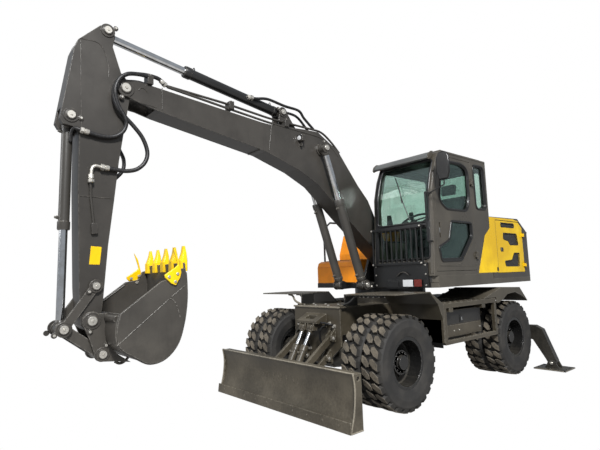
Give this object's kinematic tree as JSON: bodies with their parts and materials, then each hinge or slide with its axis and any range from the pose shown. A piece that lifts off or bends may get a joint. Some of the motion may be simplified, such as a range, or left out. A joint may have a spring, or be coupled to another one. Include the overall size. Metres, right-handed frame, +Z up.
{
  "type": "wheeled excavator",
  "caption": "Wheeled excavator with twin tyres, front dozer blade, rear outriggers, cab, two-piece boom group and digging bucket.",
  "frame": {"origin": "on the ground under the swing axis", "axes": "+X towards the boom and blade, +Y to the cab side, +Z up"},
  "size_m": [6.784, 3.33, 3.993],
  "materials": {
    "olive_paint": "worn olive-grey paint",
    "tyre": "dusty black rubber",
    "black_paint": "satin black paint",
    "bare_steel": "oiled steel",
    "grey_paint": "dark warm grey paint",
    "chrome": "hard chrome",
    "yellow_paint": "yellow paint",
    "orange_paint": "orange paint",
    "glass": "green-tinted glass",
    "plastic": "grained black plastic and cloth"
  },
  "bodies": {
    "chassis": {"frame": "olive_paint", "swing_ring_lower": "bare_steel", "front_axle": "olive_paint", "rear_axle": "olive_paint", "driveline": "olive_paint", "fenders": "olive_paint", "side_steps": "olive_paint"},
    "knuckle_left": {"knuckle_left": "olive_paint"},
    "knuckle_right": {"knuckle_right": "olive_paint"},
    "tie_rod": {"tie_rod": "olive_paint"},
    "wheel_front_left": {"tyres_front_left": "tyre", "rims_front_left": "black_paint"},
    "wheel_front_right": {"tyres_front_right": "tyre", "rims_front_right": "black_paint"},
    "wheel_rear_left": {"tyres_rear_left": "tyre", "rims_rear_left": "black_paint"},
    "wheel_rear_right": {"tyres_rear_right": "tyre", "rims_rear_right": "black_paint"},
    "blade_links_upper": {"blade_links_upper": "olive_paint"},
    "blade_links_lower": {"blade_links_lower": "olive_paint"},
    "blade": {"blade": "olive_paint"},
    "blade_barrels": {"blade_cylinder_barrels": "grey_paint"},
    "blade_rods": {"blade_cylinder_rods": "chrome"},
    "leg_left": {"outrigger_leg_left": "olive_paint"},
    "foot_left": {"outrigger_foot_left": "olive_paint"},
    "jack_barrel_left": {"outrigger_barrel_left": "grey_paint"},
    "jack_rod_left": {"outrigger_rod_left": "chrome"},
    "leg_right": {"outrigger_leg_right": "olive_paint"},
    "foot_right": {"outrigger_foot_right": "olive_paint"},
    "jack_barrel_right": {"outrigger_barrel_right": "grey_paint"},
    "jack_rod_right": {"outrigger_rod_right": "chrome"},
    "upper": {"revolving_frame": "olive_paint", "counterweight": "olive_paint", "engine_block": "bare_steel", "engine_housing": "olive_paint", "tool_box": "orange_paint", "fuel_tank": "orange_paint", "cab_shell": "olive_paint", "cab_glass": "glass", "cab_interior": "plastic", "cab_guard": "black_paint", "rails": "black_paint"},
    "cab_door": {"cab_door": "olive_paint", "door_glass": "glass"},
    "engine_door_left": {"engine_door_left": "yellow_paint"},
    "engine_door_right": {"engine_door_right": "olive_paint"},
    "hood_lid": {"hood_lid": "olive_paint"},
    "boom": {"boom": "grey_paint"},
    "boom_barrels": {"boom_cylinder_barrels": "grey_paint"},
    "boom_rods": {"boom_cylinder_rods": "chrome"},
    "arm_barrel": {"arm_cylinder_barrel": "black_paint"},
    "arm_rod": {"arm_cylinder_rod": "chrome"},
    "arm": {"arm": "grey_paint"},
    "bucket_barrel": {"bucket_cylinder_barrel": "grey_paint"},
    "bucket_rod": {"bucket_cylinder_rod": "chrome"},
    "lever": {"bucket_lever": "grey_paint"},
    "link": {"bucket_link": "grey_paint"},
    "bucket": {"bucket": "grey_paint", "bucket_teeth": "yellow_paint"}
  },
  "joints": [
    {"name": "steer_left", "type": "hinge", "parent": "chassis", "child": "knuckle_left", "pos_m": [1.27, 0.67, 0.52963], "axis": [0, 0, 1], "range_deg": [-28, 28]},
    {"name": "steer_right", "type": "hinge", "parent": "chassis", "child": "knuckle_right", "pos_m": [1.27, -0.67, 0.52963], "axis": [0, 0, 1], "range_deg": [-29, 29]},
    {"name": "tie_rod_turn", "type": "hinge", "parent": "knuckle_left", "child": "tie_rod", "pos_m": [1.03, 0.67, 0.47463], "axis": [0, 0, 1], "range_deg": [-29, 29]},
    {"name": "wheel_front_left_spin", "type": "hinge", "parent": "knuckle_left", "child": "wheel_front_left", "pos_m": [1.27, 0.962, 0.52963], "axis": [0, 1, 0], "continuous": true},
    {"name": "wheel_front_right_spin", "type": "hinge", "parent": "knuckle_right", "child": "wheel_front_right", "pos_m": [1.27, -0.962, 0.52963], "axis": [0, 1, 0], "continuous": true},
    {"name": "wheel_rear_left_spin", "type": "hinge", "parent": "chassis", "child": "wheel_rear_left", "pos_m": [-1.31, 0.962, 0.52963], "axis": [0, 1, 0], "continuous": true},
    {"name": "wheel_rear_right_spin", "type": "hinge", "parent": "chassis", "child": "wheel_rear_right", "pos_m": [-1.31, -0.962, 0.52963], "axis": [0, 1, 0], "continuous": true},
    {"name": "blade_lift", "type": "hinge", "parent": "chassis", "child": "blade_links_upper", "pos_m": [1.55, 0, 0.76], "axis": [0, -1, 0], "range_deg": [-8.5, 36]},
    {"name": "blade_lower_links_turn", "type": "hinge", "parent": "chassis", "child": "blade_links_lower", "pos_m": [1.55, 0, 0.51], "axis": [0, -1, 0], "range_deg": [-9.5, 37]},
    {"name": "blade_level", "type": "hinge", "parent": "blade_links_upper", "child": "blade", "pos_m": [2.04, 0, 0.42], "axis": [0, -1, 0], "range_deg": [-37, 9.5]},
    {"name": "blade_barrels_turn", "type": "hinge", "parent": "blade", "child": "blade_barrels", "pos_m": [1.985, 0, 0.33], "axis": [0, -1, 0], "range_deg": [-8.93, 34.59]},
    {"name": "blade_rods_slide", "type": "slide", "parent": "blade_barrels", "child": "blade_rods", "axis": [-0.5087, 0, 0.8609], "range_m": [-0.1688, 0.0437]},
    {"name": "outrigger_left", "type": "hinge", "parent": "chassis", "child": "leg_left", "pos_m": [-2.027, 0.56, 0.56], "axis": [1, 0, 0], "range_deg": [-8, 60]},
    {"name": "outrigger_foot_left_tilt", "type": "hinge", "parent": "leg_left", "child": "foot_left", "pos_m": [-2.027, 1.44, 0.095], "axis": [-1, 0, 0], "range_deg": [-30, 30]},
    {"name": "outrigger_barrel_left_turn", "type": "hinge", "parent": "chassis", "child": "jack_barrel_left", "pos_m": [-1.925, 0.15, 1.06], "axis": [1, 0, 0], "range_deg": [-4.52, 27.42]},
    {"name": "outrigger_rod_left_slide", "type": "slide", "parent": "jack_barrel_left", "child": "jack_rod_left", "axis": [0, 0.8981, -0.4398], "range_m": [-0.3909, 0.0564]},
    {"name": "outrigger_right", "type": "hinge", "parent": "chassis", "child": "leg_right", "pos_m": [-2.027, -0.56, 0.56], "axis": [-1, 0, 0], "range_deg": [-8, 60]},
    {"name": "outrigger_foot_right_tilt", "type": "hinge", "parent": "leg_right", "child": "foot_right", "pos_m": [-2.027, -1.44, 0.095], "axis": [1, 0, 0], "range_deg": [-30, 30]},
    {"name": "outrigger_barrel_right_turn", "type": "hinge", "parent": "chassis", "child": "jack_barrel_right", "pos_m": [-1.925, -0.15, 1.06], "axis": [-1, 0, 0], "range_deg": [-4.52, 27.42]},
    {"name": "outrigger_rod_right_slide", "type": "slide", "parent": "jack_barrel_right", "child": "jack_rod_right", "axis": [0, -0.8981, -0.4398], "range_m": [-0.3909, 0.0564]},
    {"name": "swing", "type": "hinge", "parent": "chassis", "child": "upper", "pos_m": [0, 0, 1.245], "axis": [0, 0, 1], "continuous": true},
    {"name": "cab_door_swing", "type": "hinge", "parent": "upper", "child": "cab_door", "pos_m": [-0.333, 1.259, 1.725], "axis": [0, 0, 1], "range_deg": [0, 95]},
    {"name": "engine_door_left_swing", "type": "hinge", "parent": "upper", "child": "engine_door_left", "pos_m": [-1.783, 1.259, 1.585], "axis": [0, 0, 1], "range_deg": [0, 95]},
    {"name": "engine_door_right_swing", "type": "hinge", "parent": "upper", "child": "engine_door_right", "pos_m": [-1.783, -1.259, 1.585], "axis": [0, 0, -1], "range_deg": [0, 95]},
    {"name": "hood_lid_lift", "type": "hinge", "parent": "upper", "child": "hood_lid", "pos_m": [-0.857, 0.7, 2.316], "axis": [0, 1, 0], "range_deg": [0, 50]},
    {"name": "boom_lift", "type": "hinge", "parent": "upper", "child": "boom", "pos_m": [0.15, 0, 1.72], "axis": [0, -1, 0], "range_deg": [-35, 40]},
    {"name": "boom_barrels_turn", "type": "hinge", "parent": "upper", "child": "boom_barrels", "pos_m": [0.83, 0, 1.38], "axis": [0, -1, 0], "range_deg": [-33.48, 38.12]},
    {"name": "boom_rods_slide", "type": "slide", "parent": "boom_barrels", "child": "boom_rods", "axis": [0.331, 0, 0.9436], "range_m": [-0.4446, 0.5074]},
    {"name": "arm_swing", "type": "hinge", "parent": "boom", "child": "arm", "pos_m": [4.002, 0, 3.389], "axis": [0, 1, 0], "range_deg": [-60, 50]},
    {"name": "arm_barrel_turn", "type": "hinge", "parent": "boom", "child": "arm_barrel", "pos_m": [2.018, 0, 3.591], "axis": [0, 1, 0], "range_deg": [-6.64, 5.7]},
    {"name": "arm_rod_slide", "type": "slide", "parent": "arm_barrel", "child": "arm_rod", "axis": [0.9878, 0, 0.1556], "range_m": [-0.5195, 0.4338]},
    {"name": "bucket_curl", "type": "hinge", "parent": "arm", "child": "bucket", "pos_m": [4.278, 0, 1.199], "axis": [0, 1, 0], "range_deg": [-150, 5]},
    {"name": "lever_turn", "type": "hinge", "parent": "arm", "child": "lever", "pos_m": [4.246, 0, 1.499], "axis": [0, 1, 0], "range_deg": [-93.73, 4.09]},
    {"name": "link_turn", "type": "hinge", "parent": "bucket", "child": "link", "pos_m": [4.186, 0, 0.902], "axis": [0, 1, 0], "range_deg": [-4.21, 97.17]},
    {"name": "bucket_barrel_turn", "type": "hinge", "parent": "arm", "child": "bucket_barrel", "pos_m": [4.476, 0, 3.029], "axis": [0, 1, 0], "range_deg": [-9.03, 1.27]},
    {"name": "bucket_rod_slide", "type": "slide", "parent": "bucket_barrel", "child": "bucket_rod", "axis": [0.0122, 0, -0.9999], "range_m": [-0.6067, 0.0251]}
  ],
  "couplings": [
    {"joint": "steer_right", "follows": "steer_left", "ratio": 1},
    {"joint": "tie_rod_turn", "follows": "steer_left", "ratio": -1},
    {"joint": "blade_lower_links_turn", "follows": "blade_lift", "ratio": 1},
    {"joint": "blade_level", "follows": "blade_lift", "ratio": -1},
    {"joint": "blade_barrels_turn", "follows": "blade_lift", "ratio": 0.93312},
    {"joint": "blade_rods_slide", "follows": "blade_lift", "m_per_rad": -0.26071},
    {"joint": "outrigger_barrel_left_turn", "follows": "outrigger_left", "ratio": 0.44032},
    {"joint": "outrigger_rod_left_slide", "follows": "outrigger_left", "m_per_rad": -0.36847},
    {"joint": "outrigger_barrel_right_turn", "follows": "outrigger_right", "ratio": 0.44032},
    {"joint": "outrigger_rod_right_slide", "follows": "outrigger_right", "m_per_rad": -0.36847},
    {"joint": "boom_barrels_turn", "follows": "boom_lift", "ratio": 0.928},
    {"joint": "boom_rods_slide", "follows": "boom_lift", "m_per_rad": 0.71971},
    {"joint": "arm_barrel_turn", "follows": "arm_swing", "ratio": 0.09402},
    {"joint": "arm_rod_slide", "follows": "arm_swing", "m_per_rad": 0.49133},
    {"joint": "lever_turn", "follows": "bucket_curl", "ratio": 0.61823},
    {"joint": "link_turn", "follows": "bucket_curl", "ratio": -0.64116},
    {"joint": "bucket_barrel_turn", "follows": "bucket_curl", "ratio": 0.053504},
    {"joint": "bucket_rod_slide", "follows": "bucket_curl", "m_per_rad": 0.22984}
  ]
}
